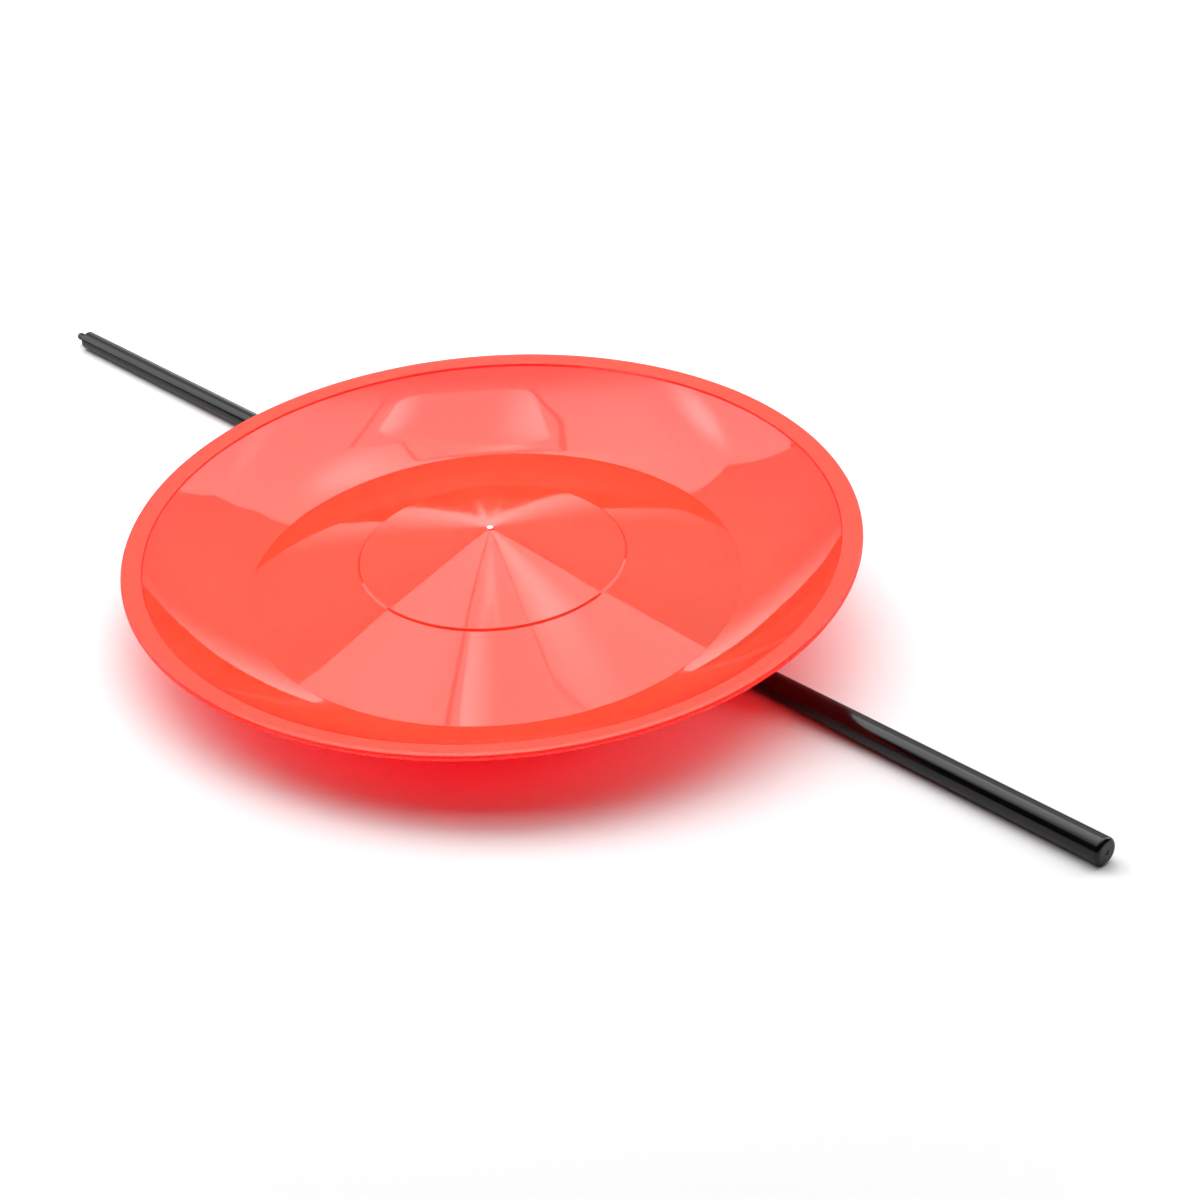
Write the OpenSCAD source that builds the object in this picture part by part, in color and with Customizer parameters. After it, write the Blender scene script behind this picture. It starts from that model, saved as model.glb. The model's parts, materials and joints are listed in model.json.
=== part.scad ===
// Spinning plate lying over its stick, as the pair rests on a table.
// The plate leans on the stick: its foot ring touches the stick on one side
// and the table on the other. Millimetres, +X along the stick, +Z up.

/* [Plate] */
// Diameter over the rim
plate_d = 240; // [220:5:260]
// Height from the foot ring's bottom to the rim's top face
plate_h = 24; // [23:0.5:30]
// Thickness of the plate's wall
wall_t = 1.8; // [1.4:0.1:2.2]
// Width of the flat band round the rim
rim_w = 6.7; // [5:0.1:8]
// Thickness of the rim at its outer edge
rim_t = 2.2; // [1.8:0.1:2.6]
// Height of the small step inside the rim band
rim_step = 0.8; // [0.4:0.1:1.2]

/* [Plate's hollow] */
// Diameter of the corner between the curved wall and the coned base
base_d = 161.4; // [156:0.2:166]
// Depth of that corner below the rim's top face
base_depth = 16.6; // [14:0.1:17]
// How far the wall's curve bows below a straight slope
wall_bow = 1.6; // [1:0.1:2.2]
// Diameter of the fine step on the coned base
ridge_d = 86; // [70:0.2:100]
// Height of that step
ridge_step = 0.7; // [0.4:0.1:1]
// Depth below the rim's top face of the base just outside the step
ridge_depth = 6.1; // [5:0.1:7]
// Rise of the base's peak above the rim's top face
peak_rise = 4.7; // [3:0.1:6]

/* [Plate's underside] */
// Diameter of the foot ring, at the middle of its rib
foot_d = 160; // [154:1:164]
// Thickness of the foot ring's rib
foot_t = 2.2; // [1.8:0.1:2.6]
// Diameter of the cup that takes the stick's tip
cup_d = 4.4; // [3.6:0.1:5]
// Depth of that cup
cup_depth = 3.4; // [2.5:0.1:4]
// Diameter of the boss round the cup
boss_d = 10; // [8:0.5:14]

/* [Stick] */
// Length from the shoulder behind the tip to the butt
stick_len = 477; // [400:1:520]
// Diameter at the shoulder
shoulder_d = 6.4; // [6:0.1:7]
// Diameter at the butt
butt_d = 9.4; // [8.5:0.1:10]
// Diameter of the tip
tip_d = 2.8; // [2.4:0.1:3.2]
// Length of the tip, with its round end
tip_len = 5; // [4:0.1:6]
// Radius of the rounded edge at the butt
butt_round = 1.5; // [1:0.1:2]

/* [How the pair lies] */
// Distance from the plate's middle to the line of the stick
stick_offset = 28.6; // [22:0.2:36]
// Place of the plate's middle along the stick, from the pair's centre
plate_x = 8.5; // [-40:0.5:40]
// Gap left between the foot ring and the stick
rest_gap = 0.2; // [0.1:0.05:0.3]

/* [Hidden] */
$fn = 96;

// Plate, in its own frame: foot ring's bottom at z = 0, axis on Z
rim_edge_r = 0.8;
rim_crease_w = 1.9;
rim_crease_drop = 0.12;
rim_band_drop = 0.3;
rim_kink_w = 0.3;
rim_kink_rise = 0.1;
step_draft = 0.25;
ridge_draft = ridge_step / 4;
nub_r = 1.15;
nub_h = 0.5;
nub_edge_r = 0.4;
foot_edge_r = 1;
cup_cover = 0.6;
corner_z = plate_h - base_depth;
ridge_z = plate_h - ridge_depth;
peak_z = plate_h + peak_rise;
boss_z = peak_z - wall_t - cup_depth - cup_cover;
lip_z = plate_h - rim_crease_drop - rim_t;

// Curved wall: an arc between the base's corner and the foot of the rim step
wall_in = [base_d / 2, corner_z];
wall_out = [plate_d / 2 - rim_w - step_draft, plate_h - rim_band_drop - rim_step];
wall_chord = norm(wall_out - wall_in);
wall_slope = atan2(wall_out.y - wall_in.y, wall_out.x - wall_in.x);
wall_r = (pow(wall_chord / 2, 2) + pow(wall_bow, 2)) / (2 * wall_bow);
wall_half = asin(wall_chord / 2 / wall_r);
wall_mid = (wall_in + wall_out) / 2;
wall_axis = wall_mid + (wall_r - wall_bow) * [-sin(wall_slope), cos(wall_slope)];
wall_from = wall_slope - 90 - wall_half;
wall_to = wall_slope - 90 + wall_half;

// Where the wall's underside meets the foot ring's outer face and the lip
foot_out = foot_d / 2 + foot_t / 2;
foot_in = foot_d / 2 - foot_t / 2;
under_r = wall_r + wall_t;
under_from = -acos((foot_out - wall_axis.x) / under_r);
under_to = -asin((wall_axis.y - lip_z) / under_r);

// Slopes of the base's outer and inner cones, and the height of their underside
outer_slope = (ridge_z - corner_z) / (base_d / 2 - ridge_d / 2);
inner_slope = (peak_z - ridge_z - ridge_step) / (ridge_d / 2 - nub_r);
function outer_under(r) = corner_z + (base_d / 2 - r) * outer_slope
    - wall_t * sqrt(1 + pow(outer_slope, 2));
function inner_under(r) = peak_z - (r - nub_r) * inner_slope
    - wall_t * sqrt(1 + pow(inner_slope, 2));

// Stick, in its own frame: shoulder at z = 0, butt at z = stick_len
shoulder_round = 0.6;
gate_r = 0.9;
gate_floor_r = 0.63;
gate_depth = 0.25;
taper = atan((butt_d - shoulder_d) / 2 / stick_len);

// How the pair lies: the stick's lowest line is on the table, z = 0, and the
// plate's foot touches the table and the line along the top of the stick
stick_x = -(stick_len - tip_len) / 2;
rim_mid_z = plate_h - rim_crease_drop - rim_t / 2;
stick_top = shoulder_d + 2 * tan(taper) * (plate_x - stick_x);
lean = atan((stick_top + rest_gap) / (foot_d / 2 + stick_offset));
roll = 2 * taper;
plate_y = rim_mid_z * sin(lean);
stick_y = plate_y + stick_offset;
foot_fall = acos(cos(lean) * cos(roll));
plate_z = foot_d / 2 * sin(foot_fall) + foot_edge_r * (1 - cos(foot_fall));

// Points along an arc
function arc(mid, r, from, to, steps) = [
    for (i = [0 : steps])
        let (a = from + (to - from) * i / steps)
        mid + r * [cos(a), sin(a)]
];

// Half section of the plate, from the peak out along the top and back below
function plate_section() = concat(
    [[0, peak_z + nub_h]],
    arc([nub_r - nub_edge_r, peak_z + nub_h - nub_edge_r], nub_edge_r, 90, 0, 4),
    [
        [nub_r, peak_z],
        [ridge_d / 2, ridge_z + ridge_step],
        [ridge_d / 2 + ridge_draft, ridge_z]
    ],
    arc(wall_axis, wall_r, wall_from, wall_to, 16),
    [
        [plate_d / 2 - rim_w, plate_h - rim_band_drop],
        [plate_d / 2 - rim_w + rim_kink_w, plate_h - rim_band_drop + rim_kink_rise],
        [plate_d / 2 - rim_crease_w, plate_h]
    ],
    arc([plate_d / 2 - rim_edge_r, plate_h - rim_crease_drop - rim_edge_r],
        rim_edge_r, 90, 0, 6),
    arc([plate_d / 2 - rim_edge_r, lip_z + rim_edge_r], rim_edge_r, 0, -90, 6),
    arc(wall_axis, under_r, under_to, under_from, 16),
    arc([foot_d / 2, foot_edge_r], foot_edge_r, 0, -180, 12),
    [
        [foot_in, outer_under(foot_in)],
        [ridge_d / 2, outer_under(ridge_d / 2)],
        [ridge_d / 2 - ridge_draft, inner_under(ridge_d / 2 - ridge_draft)],
        [boss_d / 2, inner_under(boss_d / 2)],
        [boss_d / 2, boss_z],
        [cup_d / 2, boss_z],
        [cup_d / 2, boss_z + cup_depth],
        [0, boss_z + cup_depth]
    ]
);

// Half section of the stick, from the tip's round end to the butt
function stick_section() = concat(
    arc([0, tip_d / 2 - tip_len], tip_d / 2, -90, 0, 8),
    [[tip_d / 2, 0]],
    arc([shoulder_d / 2 - shoulder_round, shoulder_round], shoulder_round, -90, 0, 6),
    arc([butt_d / 2 - butt_round, stick_len - butt_round], butt_round, 0, 90, 8),
    [
        [gate_r, stick_len],
        [gate_floor_r, stick_len - gate_depth],
        [0, stick_len - gate_depth]
    ]
);

// One moulding: rim, curved wall, coned base, foot ring and centre cup
module plate() {
    color("tomato")
        translate([plate_x, plate_y, plate_z])
        rotate([lean, -roll, 0])
        rotate_extrude()
        polygon(plate_section());
}

// One moulding: a tapered rod with a thin round-ended tip
module stick() {
    color([0.12, 0.12, 0.13])
        translate([stick_x, stick_y, shoulder_d / 2 * cos(taper)])
        rotate([0, 90 - taper, 0])
        rotate_extrude()
        polygon(stick_section());
}

plate();
stick();
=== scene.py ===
"""Looks of a spinning plate leaning on its stick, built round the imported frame.

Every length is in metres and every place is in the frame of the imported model:
+X along the stick from its tip to its butt, +Z up, the table at z = 0.
"""

import json
import math

import bpy
from bpy.props import (
    FloatProperty,
    FloatVectorProperty,
    IntProperty,
    PointerProperty,
)
from mathutils import Matrix, Vector


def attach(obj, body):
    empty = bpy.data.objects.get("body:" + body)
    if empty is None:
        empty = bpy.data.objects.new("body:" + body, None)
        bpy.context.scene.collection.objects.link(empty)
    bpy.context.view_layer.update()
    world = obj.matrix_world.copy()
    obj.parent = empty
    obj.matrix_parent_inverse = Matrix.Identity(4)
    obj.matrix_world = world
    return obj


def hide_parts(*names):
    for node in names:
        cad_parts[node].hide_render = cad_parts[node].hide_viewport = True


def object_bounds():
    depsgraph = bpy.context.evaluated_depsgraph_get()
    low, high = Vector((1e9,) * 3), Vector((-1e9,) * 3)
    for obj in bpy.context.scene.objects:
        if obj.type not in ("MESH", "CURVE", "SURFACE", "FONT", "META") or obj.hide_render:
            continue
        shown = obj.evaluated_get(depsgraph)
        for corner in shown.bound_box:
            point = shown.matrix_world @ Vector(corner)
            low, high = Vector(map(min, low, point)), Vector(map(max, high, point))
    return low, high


bl_info = {
    "name": "Spinning Plate",
    "version": (1, 0, 0),
    "blender": (4, 5, 0),
    "location": "View3D > Sidebar > Spinning Plate",
    "description": "Builds a moulded spinning plate, its stick and a small studio",
    "category": "Add Mesh",
}

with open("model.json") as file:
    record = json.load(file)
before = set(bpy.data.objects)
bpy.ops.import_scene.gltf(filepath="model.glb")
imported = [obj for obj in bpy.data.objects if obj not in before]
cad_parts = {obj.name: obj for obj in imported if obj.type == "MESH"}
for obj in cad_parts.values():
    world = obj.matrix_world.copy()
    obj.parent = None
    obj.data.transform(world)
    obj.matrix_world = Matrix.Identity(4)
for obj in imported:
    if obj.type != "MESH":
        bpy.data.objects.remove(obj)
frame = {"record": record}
CAD_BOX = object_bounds()

MM = 0.001


def mount(name):
    """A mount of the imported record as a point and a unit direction."""
    found = next(m for m in frame["record"]["mounts"] if m["name"] == name)
    return Vector(found["pos_m"]), Vector(found["axis"]).normalized()


def linear(hex_colour):
    """An sRGB hex colour as linear red, green and blue."""
    parts = [int(hex_colour[i:i + 2], 16) / 255 for i in (1, 3, 5)]
    return tuple(
        c / 12.92 if c <= 0.04045 else ((c + 0.055) / 1.055) ** 2.4 for c in parts
    )


def length(name, about, default, low, high):
    """A length property, in metres."""
    return FloatProperty(
        name=name, description=about, default=default, min=low, max=high,
        unit="LENGTH", precision=4,
    )


# ---------------------------------------------------------------- settings


class PlateSettings(bpy.types.PropertyGroup):
    """Sizes and colours of the plate."""

    diameter: length("Diameter", "Over the rim", 0.240, 0.22, 0.26)
    height: length("Height", "Foot ring to rim top", 0.024, 0.023, 0.03)
    wall: length("Wall", "Thickness of the moulding", 0.0018, 0.0014, 0.0022)
    rim_width: length("Rim width", "Flat band round the rim", 0.0067, 0.005, 0.008)
    rim_thickness: length("Rim thickness", "Lip at its edge", 0.0022, 0.0018, 0.0026)
    rim_step: length("Rim step", "Step inside the band", 0.0008, 0.0004, 0.0012)
    base_diameter: length("Base diameter", "Corner of wall and base",
                          0.1614, 0.156, 0.166)
    base_depth: length("Base depth", "Rim top to that corner", 0.0166, 0.014, 0.017)
    wall_bow: length("Wall bow", "How far the wall curves", 0.0016, 0.001, 0.0022)
    ridge_diameter: length("Ridge diameter", "Fine step on the base",
                           0.086, 0.07, 0.1)
    ridge_step: length("Ridge step", "Height of the fine step", 0.0007, 0.0004, 0.001)
    ridge_depth: length("Ridge depth", "Rim top to foot of step",
                        0.0061, 0.005, 0.007)
    peak_rise: length("Peak rise", "Base's peak over the rim", 0.0047, 0.003, 0.006)
    foot_diameter: length("Foot diameter", "Middle of the foot ring",
                          0.160, 0.154, 0.164)
    foot_thickness: length("Foot thickness", "Rib of the foot ring",
                           0.0022, 0.0018, 0.0026)
    cup_diameter: length("Cup diameter", "Cup for the tip", 0.0044, 0.0036, 0.005)
    cup_depth: length("Cup depth", "Depth of the cup", 0.0034, 0.0025, 0.004)
    boss_diameter: length("Boss diameter", "Boss round the cup", 0.010, 0.008, 0.014)
    segments: IntProperty(
        name="Segments", description="Steps round the plate",
        default=288, min=96, max=512,
    )
    colour: FloatVectorProperty(
        name="Colour", description="Body colour of the plastic", subtype="COLOR",
        default=linear("#FF8A60"), min=0, max=1,
    )
    glow: FloatVectorProperty(
        name="Glow", description="Colour of light that comes through the wall",
        subtype="COLOR", default=linear("#FF0C60"), min=0, max=1,
    )


class StickSettings(bpy.types.PropertyGroup):
    """Sizes and colours of the stick."""

    length: length("Length", "Shoulder to butt", 0.477, 0.4, 0.52)
    shoulder_diameter: length("Shoulder diameter", "Behind the tip",
                              0.0064, 0.006, 0.007)
    butt_diameter: length("Butt diameter", "At the thick end", 0.0094, 0.0085, 0.01)
    tip_diameter: length("Tip diameter", "Thin round-ended tip",
                         0.0028, 0.0024, 0.0032)
    tip_length: length("Tip length", "With its round end", 0.005, 0.004, 0.006)
    butt_round: length("Butt round", "Radius of the butt's edge",
                       0.0015, 0.001, 0.002)
    segments: IntProperty(
        name="Segments", description="Steps round the stick",
        default=64, min=24, max=128,
    )
    colour: FloatVectorProperty(
        name="Colour", description="Body colour of the plastic", subtype="COLOR",
        default=linear("#060607"), min=0, max=1,
    )


class StageSettings(bpy.types.PropertyGroup):
    """Camera, lights and table."""

    azimuth: FloatProperty(
        name="Azimuth", description="Camera's turn round the object",
        default=math.radians(44.94), subtype="ANGLE",
    )
    elevation: FloatProperty(
        name="Elevation", description="Camera's height as an angle",
        default=math.radians(30.57), subtype="ANGLE",
    )
    distance: length("Distance", "Camera to the aim point", 1.4346, 0.5, 3)
    aim: FloatVectorProperty(
        name="Aim", description="Point on the table that the camera looks at",
        subtype="TRANSLATION", default=(0.0241, 0.0339, 0), precision=4,
    )
    focal_length: FloatProperty(
        name="Focal length", description="In millimetres on a 36 mm wide sensor",
        default=130.8, min=50, max=200,
    )
    ceiling: FloatProperty(
        name="Ceiling", description="Brightness of the tent's roof",
        default=4.3, min=0, max=20,
    )
    panels: FloatProperty(
        name="Side walls", description="Brightness of the tent's side walls",
        default=4.0, min=0, max=20,
    )
    wall: FloatProperty(
        name="Far wall", description="Brightness of the tent's back cloth",
        default=1.0, min=0, max=5,
    )
    front: FloatProperty(
        name="Room", description="Brightness of the room round the tent",
        default=0.025, min=0, max=5,
    )
    bounce: FloatProperty(
        name="Bounce", description="Brightness of the bounce card by the camera",
        default=0.2, min=0, max=20,
    )
    paper: FloatVectorProperty(
        name="Paper", description="Colour of the table's paper", subtype="COLOR",
        default=linear("#DADADB"), min=0, max=1,
    )


# ------------------------------------------------------------------- tools


def node(tree, kind, inputs=None, **settings):
    """Adds a node; an input is a value or another node's output."""
    added = tree.nodes.new(kind)
    for name, value in settings.items():
        setattr(added, name, value)
    for name, value in (inputs or {}).items():
        if isinstance(value, bpy.types.NodeSocket):
            tree.links.new(value, added.inputs[name])
        else:
            added.inputs[name].default_value = value
    return added


def arc(middle, radius, start, end, steps):
    """Points on an arc, as (x, y), with its angles in degrees."""
    points = []
    for i in range(steps + 1):
        angle = math.radians(start + (end - start) * i / steps)
        points.append((
            middle[0] + radius * math.cos(angle),
            middle[1] + radius * math.sin(angle),
        ))
    return points


def rounded(corners, steps=5):
    """A line through corners (r, z, radius), each rounded by its own radius.

    Returns (r, z, normal r, normal z) with the normal on the line's left.
    """
    line = []
    count = len(corners)
    for i, (r, z, radius) in enumerate(corners):
        here = Vector((r, z))
        before = Vector(corners[i - 1][:2]) if i > 0 else None
        after = Vector(corners[i + 1][:2]) if i < count - 1 else None
        way_in = (here - before).normalized() if before is not None else None
        way_out = (after - here).normalized() if after is not None else None
        if way_in is None or way_out is None or radius == 0:
            way = way_in or way_out
            if way_in is not None and way_out is not None:
                way = (way_in + way_out).normalized()
            line.append((r, z, -way.y, way.x))
            continue
        turn = way_in.angle_signed(way_out)
        reach = abs(radius * math.tan(turn / 2))
        room = 0.49 * min((here - before).length, (after - here).length)
        if reach > room:
            radius *= room / reach
            reach = room
        start = here - way_in * reach
        side = Vector((-way_in.y, way_in.x)) * (-1 if turn > 0 else 1)
        middle = start + side * radius
        for k in range(steps + 1):
            spin = Matrix.Rotation(-turn * k / steps, 2)
            spoke = spin @ (start - middle)
            way = spin @ way_in
            point = middle + spoke
            line.append((point.x, point.y, -way.y, way.x))
    return line


def lathe(name, line, segments):
    """Turns a line of (r, z, normal r, normal z) about Z into a smooth mesh.

    The line runs from a point on the axis to another point on the axis.
    """
    on_axis = 1e-9
    verts, faces, normals, rings = [], [], [], []
    for r, z, nr, nz in line:
        if r < on_axis:
            rings.append([len(verts)] * segments)
            verts.append((0, 0, z))
            normals.append((0, 0, math.copysign(1, nz)))
            continue
        rings.append(list(range(len(verts), len(verts) + segments)))
        for k in range(segments):
            a = 2 * math.pi * k / segments
            verts.append((r * math.cos(a), r * math.sin(a), z))
            normals.append((nr * math.cos(a), nr * math.sin(a), nz))
    for upper, lower in zip(rings, rings[1:]):
        for k in range(segments):
            m = (k + 1) % segments
            quad = [upper[k], lower[k], lower[m], upper[m]]
            faces.append(list(dict.fromkeys(quad)))
    mesh = bpy.data.meshes.new(name)
    mesh.from_pydata(verts, [], faces)
    mesh.shade_smooth()
    mesh.normals_split_custom_set_from_vertices(normals)
    made = bpy.data.objects.new(name, mesh)
    bpy.context.scene.collection.objects.link(made)
    return made


def place(piece, origin, axis):
    """Stands a piece made on the Z axis at origin, with its Z along axis.

    Only the origin goes in the object; the turn goes in the mesh, so that
    the object's box fits it closely.
    """
    turn = Vector((0, 0, 1)).rotation_difference(axis).to_matrix().to_4x4()
    piece.data.transform(turn)
    piece.location = origin


def new_material(name):
    """An empty node material and its output node."""
    material = bpy.data.materials.new(name)
    material.use_nodes = True
    material.node_tree.nodes.clear()
    output = node(material.node_tree, "ShaderNodeOutputMaterial")
    return material, material.node_tree, output


# --------------------------------------------------------------- materials


def moulded_polypropylene(settings, axis):
    """Polypropylene, injection moulded in a turned and polished tool.

    The wall is glossy and the base a little less so, because its tool was
    only turned; the rim band is satin, with the turning marks left in it.
    The plastic is thin enough for red light to come through, and use has
    left dust and scuffs on it.
    """
    material, tree, output = new_material("moulded_polypropylene_red")
    where = node(tree, "ShaderNodeTexCoord").outputs["Object"]
    arm = node(tree, "ShaderNodeVectorMath", operation="CROSS_PRODUCT",
               inputs={0: where, 1: axis})
    radius = node(tree, "ShaderNodeVectorMath", operation="LENGTH",
                  inputs={0: arm.outputs["Vector"]}).outputs["Value"]
    rim_from = settings.diameter / 2 - settings.rim_width
    band = node(tree, "ShaderNodeMapRange",
                inputs={"Value": radius, "From Min": rim_from,
                        "From Max": rim_from + 0.3 * MM}).outputs["Result"]
    # Turning marks, finer on the part, drawn coarser at 0.7 mm so they show
    marks = node(tree, "ShaderNodeTexNoise", noise_dimensions="1D",
                 inputs={"W": radius, "Scale": 1 / (0.7 * MM),
                         "Detail": 2.0, "Roughness": 0.6})
    # Slow waves of the moulding's sink, about 25 mm long
    waves = node(tree, "ShaderNodeTexNoise",
                 inputs={"Vector": where, "Scale": 1 / (25 * MM), "Detail": 1.0})
    # Grains of dust, up to about 0.5 mm across and some 12 mm apart
    grains = node(tree, "ShaderNodeTexVoronoi",
                  inputs={"Vector": where, "Scale": 1 / (12 * MM)})
    dust = node(tree, "ShaderNodeMapRange",
                inputs={"Value": grains.outputs["Distance"], "From Min": 0.028,
                        "From Max": 0.018}).outputs["Result"]
    sink = node(tree, "ShaderNodeBump",
                inputs={"Height": waves.outputs["Fac"], "Distance": 0.06 * MM,
                        "Strength": 0.5})
    rings = node(tree, "ShaderNodeBump",
                 inputs={"Height": marks.outputs["Fac"], "Distance": 0.003 * MM,
                         "Strength": 0.5, "Normal": sink.outputs["Normal"]})
    specks = node(tree, "ShaderNodeBump",
                  inputs={"Height": dust, "Distance": 0.1 * MM,
                          "Normal": rings.outputs["Normal"]})
    colour = node(tree, "ShaderNodeMix", data_type="RGBA",
                  inputs={"Factor": dust})
    colour.inputs["A"].default_value = (*settings.colour, 1)
    colour.inputs["B"].default_value = (*linear("#FFB9AC"), 1)
    # Handling marks: patches where the gloss is a little duller
    worn = node(tree, "ShaderNodeTexNoise",
                inputs={"Vector": where, "Scale": 1 / (14 * MM), "Detail": 4.0})
    dull = node(tree, "ShaderNodeMapRange",
                inputs={"Value": worn.outputs["Fac"], "From Min": 0.35,
                        "From Max": 0.75, "To Min": 0.0, "To Max": 0.02})
    corner = settings.base_diameter / 2
    polish = node(tree, "ShaderNodeMapRange",
                  inputs={"Value": radius, "From Min": corner - 0.5 * MM,
                          "From Max": corner + 0.5 * MM, "To Min": 0.03,
                          "To Max": 0.025})
    skin = node(tree, "ShaderNodeMath", operation="ADD",
                inputs={0: polish.outputs["Result"], 1: dull.outputs["Result"]})
    satin = node(tree, "ShaderNodeMath", operation="MULTIPLY_ADD",
                 inputs={0: band, 1: 0.18, 2: skin.outputs["Value"]})
    shader = node(tree, "ShaderNodeBsdfPrincipled",
                  inputs={"Base Color": colour.outputs["Result"],
                          "Roughness": satin.outputs["Value"],
                          "IOR": 1.68,
                          "Specular IOR Level": 1.0,
                          "Subsurface Weight": 1.0,
                          "Subsurface Radius": (1.0, 0.12, 0.08),
                          "Subsurface Scale": 3 * MM,
                          "Normal": specks.outputs["Normal"]})
    through = node(tree, "ShaderNodeBsdfTranslucent",
                   inputs={"Color": (*settings.glow, 1)})
    wall = node(tree, "ShaderNodeMixShader",
                inputs={0: 0.75, 1: shader.outputs["BSDF"],
                        2: through.outputs["BSDF"]})
    tree.links.new(wall.outputs["Shader"], output.inputs["Surface"])
    return material


def painted_highlight_dot():
    """Polypropylene painted near-white on the top of the plate's pip, as a painted
    highlight.

    The pale, matt colour stands in for the glint on the pip, so it stands out as a pale
    dot.
    """
    material, tree, output = new_material("polypropylene_snapped_gate")
    where = node(tree, "ShaderNodeTexCoord")
    # Bumps about 0.3 mm across
    bump_noise = node(tree, "ShaderNodeTexNoise",
                inputs={"Vector": where.outputs["Object"], "Scale": 1 / (0.3 * MM)})
    rough = node(tree, "ShaderNodeBump",
                 inputs={"Height": bump_noise.outputs["Fac"], "Distance": 0.04 * MM})
    # Painted highlight: the near-white base colour stands in for the glint on the pip
    shader = node(tree, "ShaderNodeBsdfPrincipled",
                  inputs={"Base Color": (*linear("#FBE9E4"), 1), "Roughness": 0.6,
                          "IOR": 1.49, "Normal": rough.outputs["Normal"]})
    tree.links.new(shader.outputs["BSDF"], output.inputs["Surface"])
    return material


def moulded_black(settings):
    """Black ABS, moulded with a satin skin that the hand has polished."""
    material, tree, output = new_material("moulded_abs_black")
    where = node(tree, "ShaderNodeTexCoord")
    # The tool's grain is too fine to show, so it is drawn coarser, at 0.8 mm
    grain = node(tree, "ShaderNodeTexNoise",
                 inputs={"Vector": where.outputs["Object"], "Scale": 1 / (0.8 * MM),
                         "Detail": 2.0})
    skin = node(tree, "ShaderNodeBump",
                inputs={"Height": grain.outputs["Fac"], "Distance": 0.004 * MM,
                        "Strength": 0.4})
    worn = node(tree, "ShaderNodeTexNoise",
                inputs={"Vector": where.outputs["Object"], "Scale": 1 / (18 * MM),
                        "Detail": 3.0})
    dull = node(tree, "ShaderNodeMapRange",
                inputs={"Value": worn.outputs["Fac"], "From Min": 0.35,
                        "From Max": 0.7, "To Min": 0.12, "To Max": 0.2})
    shader = node(tree, "ShaderNodeBsdfPrincipled",
                  inputs={"Base Color": (*settings.colour, 1),
                          "Roughness": dull.outputs["Result"],
                          "IOR": 1.53,
                          "Specular IOR Level": 0.25,
                          "Normal": skin.outputs["Normal"]})
    tree.links.new(shader.outputs["BSDF"], output.inputs["Surface"])
    return material


def matt_paper(settings):
    """White background paper on a light table, matt and without texture.

    Round the object it is lit only from above; further out it is given a painted glow that
    grows with the distance from the middle, so the paper stays white to the horizon.
    """
    material, tree, output = new_material("matt_white_paper")
    where = node(tree, "ShaderNodeTexCoord")
    reach = node(tree, "ShaderNodeVectorMath", operation="LENGTH",
                 inputs={0: where.outputs["Object"]})
    # Painted glow: the paper's emission rises from 0 at 0.28 m to 1 at 0.8 m from the
    # middle
    lit = node(tree, "ShaderNodeMapRange", interpolation_type="SMOOTHSTEP",
               inputs={"Value": reach.outputs["Value"], "From Min": 0.28,
                       "From Max": 0.8})
    shader = node(tree, "ShaderNodeBsdfPrincipled",
                  inputs={"Base Color": (*settings.paper, 1), "Roughness": 0.9,
                          "Specular IOR Level": 0.2,
                          "Emission Color": (1, 1, 1, 1),
                          "Emission Strength": lit.outputs["Result"]})
    tree.links.new(shader.outputs["BSDF"], output.inputs["Surface"])
    return material


# ------------------------------------------------------------------ pieces


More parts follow.
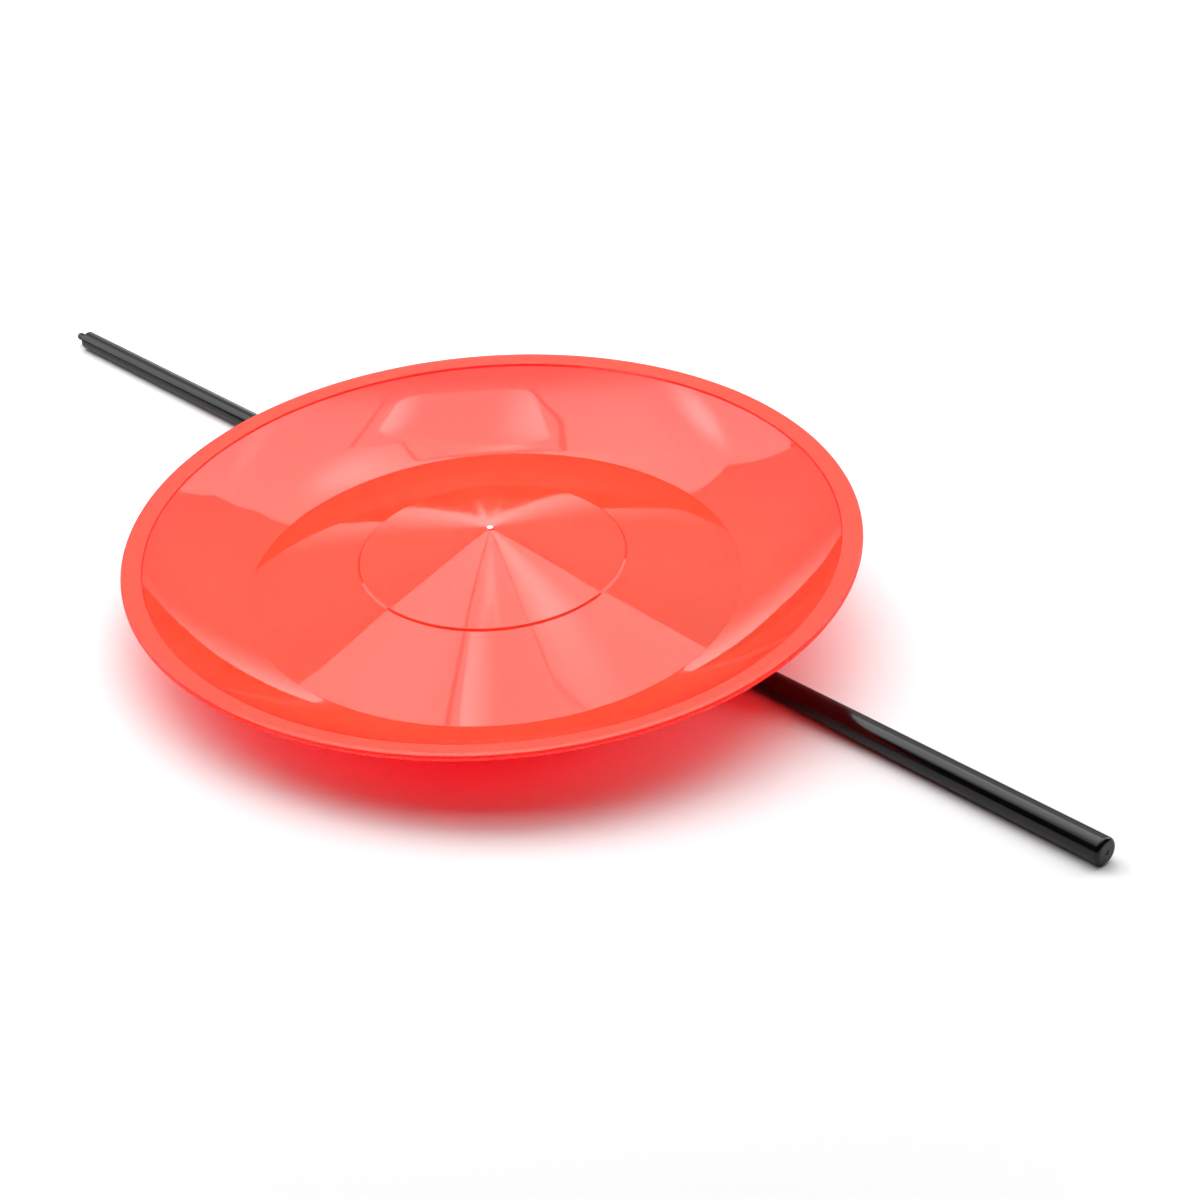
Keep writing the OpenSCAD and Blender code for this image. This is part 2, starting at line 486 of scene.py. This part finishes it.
def plate_line(p):
    """Half section of the plate, from the peak over the top to the cup."""
    corner_z = p.height - p.base_depth
    ridge_z = p.height - p.ridge_depth
    peak_z = p.height + p.peak_rise
    nub_r, nub_h, cup_cover = 1.15 * MM, 0.5 * MM, 0.6 * MM
    crease_w, crease_drop, band_drop = 1.9 * MM, 0.12 * MM, 0.3 * MM
    step_draft = 0.25 * MM
    rim_r = p.diameter / 2
    edge_r = 0.8 * MM
    lip_z = p.height - crease_drop - p.rim_thickness

    inner = Vector((p.base_diameter / 2, corner_z))
    outer = Vector((rim_r - p.rim_width - step_draft,
                    p.height - band_drop - p.rim_step))
    chord = (outer - inner).length
    slope = math.degrees(math.atan2(outer.y - inner.y, outer.x - inner.x))
    bend = ((chord / 2) ** 2 + p.wall_bow ** 2) / (2 * p.wall_bow)
    half = math.degrees(math.asin(chord / 2 / bend))
    up = Vector((-math.sin(math.radians(slope)), math.cos(math.radians(slope))))
    middle = (inner + outer) / 2 + up * (bend - p.wall_bow)
    wall = arc(middle, bend, slope - 90 - half, slope - 90 + half, 28)

    foot_out = (p.foot_diameter + p.foot_thickness) / 2
    foot_in = (p.foot_diameter - p.foot_thickness) / 2
    under = bend + p.wall
    under_from = -math.degrees(math.acos((foot_out - middle.x) / under))
    under_to = -math.degrees(math.asin((middle.y - lip_z) / under))
    below = arc(middle, under, under_to, under_from, 28)

    outer_slope = (ridge_z - corner_z) / (p.base_diameter - p.ridge_diameter) * 2
    inner_slope = (peak_z - ridge_z - p.ridge_step) / (p.ridge_diameter / 2 - nub_r)

    def outer_under(r):
        """Height of the outer cone's underside."""
        rise = (p.base_diameter / 2 - r) * outer_slope
        return corner_z + rise - p.wall * math.hypot(1, outer_slope)

    def inner_under(r):
        """Height of the inner cone's underside."""
        fall = (r - nub_r) * inner_slope
        return peak_z - fall - p.wall * math.hypot(1, inner_slope)

    ridge_r = p.ridge_diameter / 2
    ridge_foot = ridge_r + p.ridge_step
    ridge_back = ridge_r - p.ridge_step / 4
    boss_r, cup_r = p.boss_diameter / 2, p.cup_diameter / 2
    boss_z = peak_z - p.wall - p.cup_depth - cup_cover
    # Each corner as r, z and the radius of its rounding
    corners = [
        (0, peak_z + nub_h, 0),
        (nub_r - 0.1 * MM, peak_z + nub_h, 0.45 * MM),
        (nub_r, peak_z, 0.12 * MM),
        (ridge_r, ridge_z + p.ridge_step, 0.4 * MM),
        (ridge_foot, ridge_z, 0.4 * MM),
        (*wall[0], 0.35 * MM),
        *[(r, z, 0) for r, z in wall[1:-1]],
        (*wall[-1], 0.15 * MM),
        (rim_r - p.rim_width, p.height - band_drop, 0.15 * MM),
        (rim_r - crease_w, p.height, 0.25 * MM),
        (rim_r - edge_r * 0.6, p.height - crease_drop, edge_r * 0.4),
        (rim_r, p.height - crease_drop - edge_r, edge_r),
        (rim_r, lip_z + edge_r * 0.6, edge_r),
        (rim_r - edge_r, lip_z, edge_r),
        (*below[0], 0.6 * MM),
        *[(r, z, 0) for r, z in below[1:-1]],
        (*below[-1], 0.5 * MM),
        (foot_out, 0, 1.0 * MM),
        (foot_in, 0, 1.0 * MM),
        (foot_in, outer_under(foot_in), 0.5 * MM),
        (ridge_r, outer_under(ridge_r), 0.12 * MM),
        (ridge_back, inner_under(ridge_back), 0.12 * MM),
        (boss_r, inner_under(boss_r), 0.4 * MM),
        (boss_r, boss_z, 0.3 * MM),
        (cup_r, boss_z, 0.2 * MM),
        (cup_r, boss_z + p.cup_depth, 0.2 * MM),
        (0, boss_z + p.cup_depth, 0),
    ]
    return rounded(corners), boss_z + p.cup_depth / 2


class SPIN_OT_plate(bpy.types.Operator):
    """Make the plate: rim, curved wall, coned base, foot ring and cup"""

    bl_idname = "spin.plate"
    bl_label = "Plate"

    def execute(self, context):
        """Turns the plate's section, places it on its cup's axis."""
        settings = context.scene.spin_plate
        line, cup_middle_z = plate_line(settings)
        plate = lathe("spinning_plate", line, settings.segments)
        cup, mouth = mount("centre_cup")
        place(plate, cup + mouth * cup_middle_z, -mouth)
        plate.data.materials.append(moulded_polypropylene(settings, -mouth))
        plate.data.materials.append(painted_highlight_dot())
        # The painted highlight is the top of the pip: the first rings of faces
        highlight_rings = 4
        for face in plate.data.polygons[:settings.segments * highlight_rings]:
            face.material_index = 1
        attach(plate, "plate")
        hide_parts("plate")
        return {"FINISHED"}


def stick_line(s):
    """Half section of the stick, from the butt to the tip's round end."""
    tip_r, gate_r, gate_depth = s.tip_diameter / 2, 0.9 * MM, 0.25 * MM
    crown = arc((0, tip_r - s.tip_length), tip_r, 0, -90, 10)
    corners = [
        (0, s.length - gate_depth, 0),
        (gate_r * 0.7, s.length - gate_depth, 0.1 * MM),
        (gate_r, s.length, 0.1 * MM),
        (s.butt_diameter / 2, s.length, s.butt_round),
        (s.shoulder_diameter / 2, 0, 0.6 * MM),
        (tip_r, 0, 0.2 * MM),
        *[(r, z, 0) for r, z in crown[:-1]],
        (0, -s.tip_length, 0),
    ]
    return rounded(corners, steps=8)


class SPIN_OT_stick(bpy.types.Operator):
    """Make the stick: a tapered rod with a thin round-ended tip"""

    bl_idname = "spin.stick"
    bl_label = "Stick"

    def execute(self, context):
        """Turns the stick's section and lays it along its tip's axis."""
        settings = context.scene.spin_stick
        stick = lathe("spinning_stick", stick_line(settings), settings.segments)
        tip, outwards = mount("stick_tip")
        straight = settings.tip_length - settings.tip_diameter / 2
        place(stick, tip - outwards * straight / 2, -outwards)
        stick.data.materials.append(moulded_black(settings))
        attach(stick, "stick")
        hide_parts("stick")
        return {"FINISHED"}


# ------------------------------------------------------------------- stage


def softbox(name, size, radiance, place_at, facing, height_along):
    """A flat light of even brightness, unseen by the camera."""
    data = bpy.data.lights.new(name, "AREA")
    data.shape = "RECTANGLE"
    data.size, data.size_y = size
    data.energy = radiance * math.pi * size[0] * size[1]
    made = bpy.data.objects.new(name, data)
    bpy.context.scene.collection.objects.link(made)
    back = -facing.normalized()
    side = height_along.cross(back)
    turn = Matrix((side, back.cross(side), back)).transposed().to_4x4()
    made.matrix_world = Matrix.Translation(place_at) @ turn
    made.visible_camera = False
    return made


def hang_cloth(name, points, faces, material):
    """Hangs a cloth of the tent, which the camera doesn't see."""
    mesh = bpy.data.meshes.new(name)
    mesh.from_pydata(points, [], faces)
    mesh.materials.append(material)
    made = bpy.data.objects.new(name, mesh)
    bpy.context.scene.collection.objects.link(made)
    made.visible_camera = False


def lit_cloth(name, low, high, direction, start, end, glows=()):
    """Light-tent cloth: white nylon lit from outside, so it glows by itself.

    Its brightness goes from low to high along a direction. Where a lamp
    stands close behind it there is a soft glow: (middle, across, along, extra).
    """
    material, tree, output = new_material(name)
    where = node(tree, "ShaderNodeTexCoord").outputs["Object"]
    run = node(tree, "ShaderNodeVectorMath", operation="DOT_PRODUCT",
               inputs={0: where, 1: direction})
    total = node(tree, "ShaderNodeMapRange", interpolation_type="SMOOTHSTEP",
                 inputs={"Value": run.outputs["Value"], "From Min": start,
                         "From Max": end, "To Min": low, "To Max": high})
    total = total.outputs["Result"]
    for middle, across, along, extra in glows:
        offset = node(tree, "ShaderNodeVectorMath", operation="SUBTRACT",
                      inputs={0: where, 1: middle})
        parts = [node(tree, "ShaderNodeVectorMath", operation="DOT_PRODUCT",
                      inputs={0: offset.outputs["Vector"],
                              1: half / half.length_squared})
                 for half in (across, along)]
        pair = node(tree, "ShaderNodeCombineXYZ",
                    inputs={"X": parts[0].outputs["Value"],
                            "Y": parts[1].outputs["Value"]})
        reach = node(tree, "ShaderNodeVectorMath", operation="LENGTH",
                     inputs={0: pair.outputs["Vector"]})
        spot = node(tree, "ShaderNodeMapRange", interpolation_type="SMOOTHSTEP",
                    inputs={"Value": reach.outputs["Value"],
                            "To Min": extra, "To Max": 0})
        total = node(tree, "ShaderNodeMath", operation="ADD",
                     inputs={0: total, 1: spot.outputs["Result"]}).outputs["Value"]
    glow = node(tree, "ShaderNodeEmission",
                inputs={"Color": (1, 1, 1, 1), "Strength": total})
    tree.links.new(glow.outputs["Emission"], output.inputs["Surface"])
    return material


def dim_room(strength):
    """A dim room round the tent; behind the object the camera sees plain white."""
    world = bpy.data.worlds.new("studio")
    world.use_nodes = True
    tree = world.node_tree
    tree.nodes.clear()
    ray = node(tree, "ShaderNodeLightPath")
    seen = node(tree, "ShaderNodeMix",
                inputs={"Factor": ray.outputs["Is Camera Ray"],
                        "A": strength, "B": 1.2})
    paint = node(tree, "ShaderNodeBackground",
                 inputs={"Color": (1, 1, 1, 1), "Strength": seen.outputs["Result"]})
    output = node(tree, "ShaderNodeOutputWorld")
    tree.links.new(paint.outputs["Background"], output.inputs["Surface"])
    bpy.context.scene.world = world


class Studio:
    """Places of the stage, as seen from the camera's side of the object."""

    roof_height = 1.0
    near_edge = -0.42
    # Corners of the tent's far edge (side, ahead), and how high the lower hem
    # of its cloth hangs at each
    far_edge = (
        (-1.1, 0.88, 0.30), (-0.6, 0.69, 0.22), (-0.38, 0.85, 0.22),
        (-0.3, 0.85, 0.20), (-0.2, 0.85, 0.20), (-0.15, 0.85, 0.178),
        (-0.075, 0.85, 0.1395), (-0.03, 0.85, 0.1455), (0.034, 0.85, 0.187),
        (0.06, 0.85, 0.20), (0.13, 0.85, 0.24), (0.21, 0.80, 0.265),
        (0.3, 0.74, 0.25), (0.54, 0.71, 0.25), (0.8, 0.86, 0.30),
    )

    def __init__(self, azimuth):
        """Sets the stage's directions from the camera's azimuth."""
        low, high = CAD_BOX
        self.floor = low.z
        self.middle = Vector(((low.x + high.x) / 2, (low.y + high.y) / 2, 0))
        self.away = Vector((-math.sin(azimuth), math.cos(azimuth), 0))
        self.right = Vector((math.cos(azimuth), math.sin(azimuth), 0))
        self.up = Vector((0, 0, 1))

    def at(self, side, ahead, height=roof_height):
        """A place by how far it lies to the right, ahead and up."""
        return self.middle + self.right * side + self.away * ahead + self.up * height

    def glow(self, side, ahead, half_wide, half_deep, extra):
        """A lamp close over the roof, in the form that lit_cloth takes."""
        across, along = self.right * half_wide, self.away * half_deep
        return self.at(side, ahead), across, along, extra


def lay_paper(settings, studio):
    """Lays the paper flat on the table, under the middle of the object."""
    reach = 3.0
    sheet = bpy.data.meshes.new("table_paper")
    corners = [(-reach, -reach, 0), (reach, -reach, 0),
               (reach, reach, 0), (-reach, reach, 0)]
    sheet.from_pydata(corners, [], [(0, 1, 2, 3)])
    paper = bpy.data.objects.new("table_paper", sheet)
    bpy.context.scene.collection.objects.link(paper)
    paper.location = (studio.middle.x, studio.middle.y, studio.floor)
    sheet.materials.append(matt_paper(settings))


def hang_roof(settings, studio):
    """Hangs the roof, with six lamps over it and darker on the near side."""
    sides = (studio.far_edge[-1][0], studio.far_edge[0][0])
    outline = [studio.at(x, y) for x, y, hem in studio.far_edge]
    outline += [studio.at(x, studio.near_edge) for x in sides]
    lamps = [
        studio.glow(-0.63, 0.33, 0.10, 0.34, 5.0),
        studio.glow(0.11, 0.52, 0.13, 0.24, 3.5),
        studio.glow(-0.08, 0.58, 0.28, 0.13, 2.0),
        studio.glow(-0.35, 0.45, 0.2, 0.5, 0.6),
        studio.glow(0.50, 0.38, 0.07, 0.3, 1.2),
        studio.glow(-0.11, 0.46, 0.05, 0.07, 2.5),
    ]
    shaded = settings.ceiling * 0.4
    cloth = lit_cloth("lit_tent_roof", shaded, settings.ceiling,
                      studio.away, -0.1, 0.15, lamps)
    hang_cloth("tent_roof", outline, [tuple(range(len(outline)))], cloth)


def hang_back(settings, studio):
    """Hangs the back cloth, lighter at the top, with one low lamp behind it."""
    points = [studio.at(x, y) for x, y, hem in studio.far_edge]
    points += [studio.at(x, y, hem) for x, y, hem in studio.far_edge]
    count = len(studio.far_edge)
    panels = [(i, i + 1, count + i + 1, count + i) for i in range(count - 1)]
    lamp = (studio.at(-0.07, 0.85, 0.17), studio.right * 0.42, studio.up * 0.24, 3.6)
    cloth = lit_cloth("lit_tent_back", settings.wall, settings.wall * 1.35,
                      studio.up, 0.3, 0.6, [lamp])
    hang_cloth("tent_back", points, panels, cloth)


def hang_hatch(settings, studio):
    """Hangs a hatch under the roof: thin cloth inside a doubled, darker hem."""
    level = studio.roof_height - 0.01
    corners = [(-0.195, 0.52), (0.0, 0.52), (0.06, 0.34), (0.17, 0.34),
               (0.17, 0.0), (0.1, -0.035), (-0.17, -0.035), (-0.22, 0.25)]
    hem_inside = 0.94
    outer = [studio.at(x, y, level) for x, y in corners]
    count = len(outer)
    centre = sum(outer, Vector()) / count
    inner = [centre + (point - centre) * hem_inside for point in outer]
    ring = [(i, (i + 1) % count, count + (i + 1) % count, count + i)
            for i in range(count)]
    doubled = settings.ceiling * 0.5
    hang_cloth("tent_hatch_hem", outer + inner, ring,
               lit_cloth("tent_hem", doubled, doubled, studio.away, 0, 1))

    window = [
        *arc((-0.12, 0.08), 0.06, 180, 270, 6),
        *arc((0.07, 0.08), 0.06, -90, 0, 6),
        *arc((0.06, 0.22), 0.07, 0, 90, 6),
        *arc((-0.10, 0.37), 0.08, 90, 180, 6),
    ]
    lamps = [
        studio.glow(-0.18, 0.24, 0.10, 0.4, 4.0),
        studio.glow(0.13, 0.16, 0.08, 0.3, 5.0),
    ]
    thin = settings.ceiling * 0.94
    cloth = lit_cloth("lit_tent_window", thin, thin, studio.away, 0, 1, lamps)
    points = [studio.at(x, y, level) for x, y in window]
    hang_cloth("tent_hatch_window", points, [tuple(range(len(points)))], cloth)


def stand_lights(settings, studio):
    """Stands the two side walls, and a bounce card that no gloss reflects."""
    wall_size, wall_height = (0.7, 0.85), 0.55
    softbox("left_wall", wall_size, settings.panels,
            studio.at(-1.1, 0.5, wall_height), studio.right, studio.up)
    softbox("right_wall", wall_size, settings.panels,
            studio.at(0.8, 0.5, wall_height), -studio.right, studio.up)
    card = softbox("front_bounce", (2.2, 0.4), settings.bounce,
                   studio.at(0, -1.05, 0.7), studio.away * 0.3 - studio.up,
                   studio.right)
    card.visible_glossy = False


def set_camera(settings, studio):
    """Sets the camera on its aim point, from its azimuth and elevation."""
    level = studio.away * math.cos(settings.elevation)
    look = level - studio.up * math.sin(settings.elevation)
    data = bpy.data.cameras.new("camera")
    data.lens = settings.focal_length
    data.sensor_width = 36
    data.clip_start = 0.05
    data.clip_end = 50
    camera = bpy.data.objects.new("camera", data)
    bpy.context.scene.collection.objects.link(camera)
    camera.location = Vector(settings.aim) - look * settings.distance
    camera.rotation_mode = "QUATERNION"
    camera.rotation_quaternion = look.to_track_quat("-Z", "Y")
    bpy.context.scene.camera = camera


class SPIN_OT_stage(bpy.types.Operator):
    """Make the table, the lights and the camera"""

    bl_idname = "spin.stage"
    bl_label = "Stage"

    def execute(self, context):
        """Lays the paper, hangs the tent, stands the lights, sets the camera."""
        settings = context.scene.spin_stage
        studio = Studio(settings.azimuth)
        lay_paper(settings, studio)
        hang_roof(settings, studio)
        hang_back(settings, studio)
        hang_hatch(settings, studio)
        stand_lights(settings, studio)
        dim_room(settings.front)
        set_camera(settings, studio)
        context.scene.view_settings.view_transform = "Standard"
        return {"FINISHED"}


# ------------------------------------------------------------------- panel


class SPIN_PT_panel(bpy.types.Panel):
    """Sizes, colours and buttons for each piece."""

    bl_label = "Spinning Plate"
    bl_idname = "SPIN_PT_panel"
    bl_space_type = "VIEW_3D"
    bl_region_type = "UI"
    bl_category = "Spinning Plate"

    def draw(self, context):
        """Lists each group of settings over its own button."""
        for group, button in (
            ("spin_stage", SPIN_OT_stage),
            ("spin_plate", SPIN_OT_plate),
            ("spin_stick", SPIN_OT_stick),
        ):
            box = self.layout.box()
            settings = getattr(context.scene, group)
            for name in settings.__annotations__:
                box.prop(settings, name)
            box.operator(button.bl_idname)


CLASSES = (
    PlateSettings,
    StickSettings,
    StageSettings,
    SPIN_OT_stage,
    SPIN_OT_plate,
    SPIN_OT_stick,
    SPIN_PT_panel,
)


def register():
    """Registers the classes and gives the scene its settings."""
    for each in CLASSES:
        bpy.utils.register_class(each)
    bpy.types.Scene.spin_plate = PointerProperty(type=PlateSettings)
    bpy.types.Scene.spin_stick = PointerProperty(type=StickSettings)
    bpy.types.Scene.spin_stage = PointerProperty(type=StageSettings)


def unregister():
    """Takes the settings and the classes away again."""
    del bpy.types.Scene.spin_plate
    del bpy.types.Scene.spin_stick
    del bpy.types.Scene.spin_stage
    for each in reversed(CLASSES):
        bpy.utils.unregister_class(each)


def main():
    """Builds everything in order."""
    register()
    bpy.ops.spin.stage()
    bpy.ops.spin.plate()
    bpy.ops.spin.stick()


if __name__ == "__main__":
    main()
